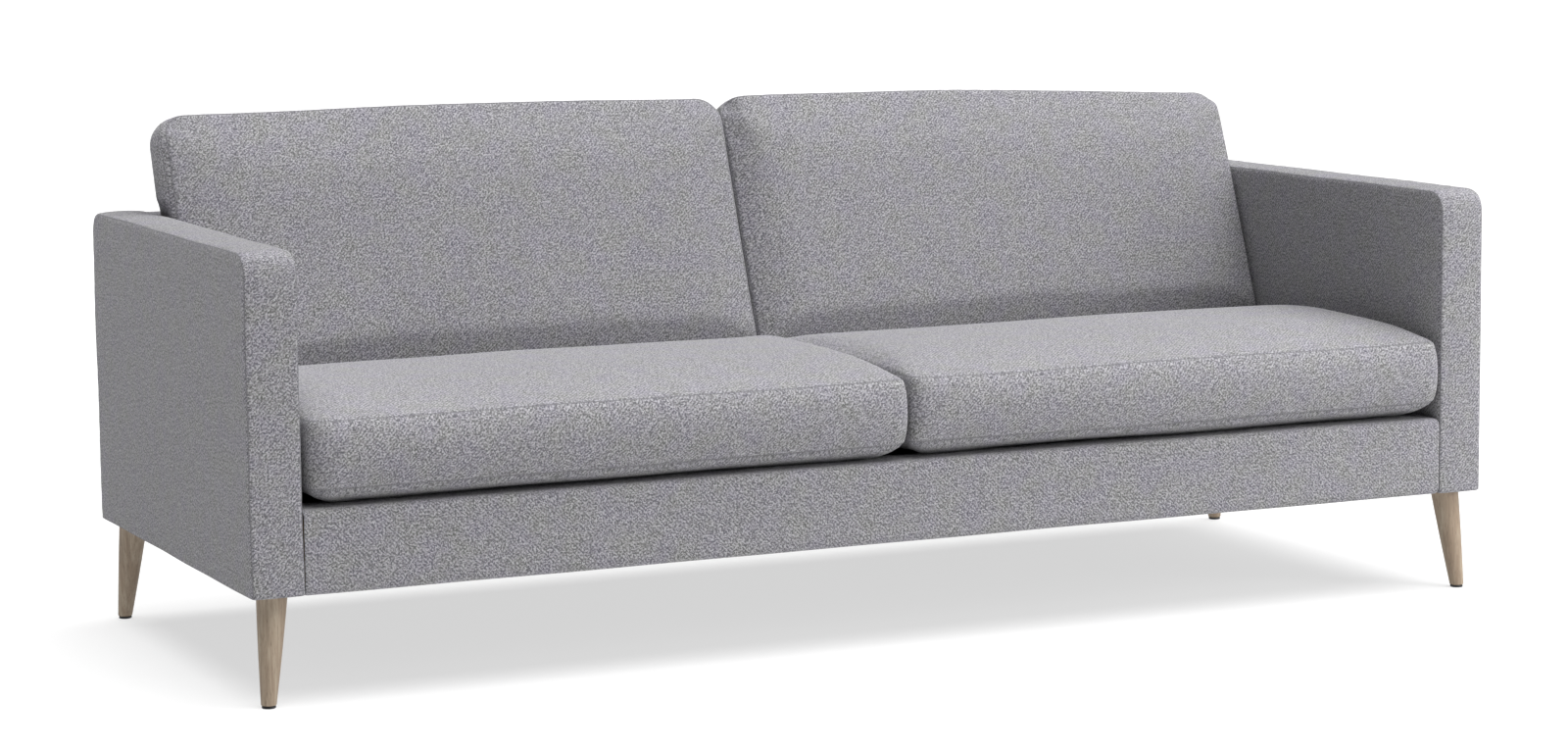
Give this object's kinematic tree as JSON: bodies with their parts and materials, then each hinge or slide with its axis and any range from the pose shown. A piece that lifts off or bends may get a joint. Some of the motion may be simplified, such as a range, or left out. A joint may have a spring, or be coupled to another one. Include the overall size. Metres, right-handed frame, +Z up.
{
  "type": "sofa",
  "caption": "Sofa with slim box arms, loose seat cushions, reclined loose back cushions and splayed tapered wooden legs.",
  "frame": {"origin": "on the floor, under the middle of the sofa's overall length and depth", "axes": "+X along the sofa to its right-hand end as seen from in front, -Y out of the front, +Z up"},
  "size_m": [2.14, 0.84, 0.8279],
  "materials": {
    "upholstery": "woven mid-grey hopsack upholstery, matt",
    "soaped_oak": "pale soaped oak, turned and sanded",
    "pine": "planed softwood",
    "foam": "upholstery foam",
    "hardboard": "smooth hardboard",
    "steel": "zinc plated",
    "webbing": "elastic webbing",
    "lining": "black non-woven lining",
    "zip_tape": "nylon zip on woven tape",
    "glide": "moulded plastic"
  },
  "bodies": {
    "sofa_frame": {"seat_front_rail": "pine", "seat_rear_rail": "pine", "seat_left_rail": "pine", "seat_centre_rail": "pine", "seat_right_rail": "pine", "back_bottom_rail": "pine", "left_seat_springs": "steel", "right_seat_springs": "steel", "seat_deck_cloth": "lining", "dust_cover": "lining", "front_rail_cover": "upholstery", "back_cover": "upholstery", "left_arm_cover": "upholstery", "left_arm_padding": "foam", "left_arm_outer_panel": "hardboard", "left_arm_inner_panel": "hardboard", "left_arm_frame": "pine", "right_arm_cover": "upholstery", "right_arm_padding": "foam", "right_arm_outer_panel": "hardboard", "right_arm_inner_panel": "hardboard", "right_arm_frame": "pine", "back_left_post": "pine", "back_centre_post": "pine", "back_right_post": "pine", "back_top_rail": "pine", "back_webbing": "webbing", "back_panel": "hardboard", "front_left_leg": "soaped_oak", "front_left_leg_bolt": "steel", "front_left_leg_plate": "steel", "front_left_leg_glide": "glide", "front_right_leg": "soaped_oak", "front_right_leg_bolt": "steel", "front_right_leg_plate": "steel", "front_right_leg_glide": "glide", "rear_left_leg": "soaped_oak", "rear_left_leg_bolt": "steel", "rear_left_leg_plate": "steel", "rear_left_leg_glide": "glide", "rear_right_leg": "soaped_oak", "rear_right_leg_bolt": "steel", "rear_right_leg_plate": "steel", "rear_right_leg_glide": "glide"},
    "left_seat_cushion": {"left_seat_cushion_core": "foam", "left_seat_cushion_cover": "upholstery", "left_seat_cushion_zip": "zip_tape"},
    "left_seat_cushion_slider": {"left_seat_cushion_zip_slider": "steel"},
    "left_back_cushion": {"left_back_cushion_core": "foam", "left_back_cushion_cover": "upholstery", "left_back_cushion_zip": "zip_tape"},
    "left_back_cushion_slider": {"left_back_cushion_zip_slider": "steel"},
    "right_seat_cushion": {"right_seat_cushion_core": "foam", "right_seat_cushion_cover": "upholstery", "right_seat_cushion_zip": "zip_tape"},
    "right_seat_cushion_slider": {"right_seat_cushion_zip_slider": "steel"},
    "right_back_cushion": {"right_back_cushion_core": "foam", "right_back_cushion_cover": "upholstery", "right_back_cushion_zip": "zip_tape"},
    "right_back_cushion_slider": {"right_back_cushion_zip_slider": "steel"}
  },
  "joints": [
    {"name": "left_seat_lift", "type": "slide", "parent": "sofa_frame", "child": "left_seat_cushion", "axis": [0, 0, 1], "range_m": [0, 0.4]},
    {"name": "left_seat_zip", "type": "slide", "parent": "left_seat_cushion", "child": "left_seat_cushion_slider", "axis": [-1, 0, 0], "range_m": [0, 0.77]},
    {"name": "left_back_lift", "type": "slide", "parent": "sofa_frame", "child": "left_back_cushion", "axis": [0, 0.3584, 0.9336], "range_m": [0, 0.42]},
    {"name": "left_back_zip", "type": "slide", "parent": "left_back_cushion", "child": "left_back_cushion_slider", "axis": [-1, 0, 0], "range_m": [0, 0.77]},
    {"name": "right_seat_lift", "type": "slide", "parent": "sofa_frame", "child": "right_seat_cushion", "axis": [0, 0, 1], "range_m": [0, 0.4]},
    {"name": "right_seat_zip", "type": "slide", "parent": "right_seat_cushion", "child": "right_seat_cushion_slider", "axis": [1, 0, 0], "range_m": [0, 0.77]},
    {"name": "right_back_lift", "type": "slide", "parent": "sofa_frame", "child": "right_back_cushion", "axis": [0, 0.3584, 0.9336], "range_m": [0, 0.42]},
    {"name": "right_back_zip", "type": "slide", "parent": "right_back_cushion", "child": "right_back_cushion_slider", "axis": [1, 0, 0], "range_m": [0, 0.77]}
  ]
}
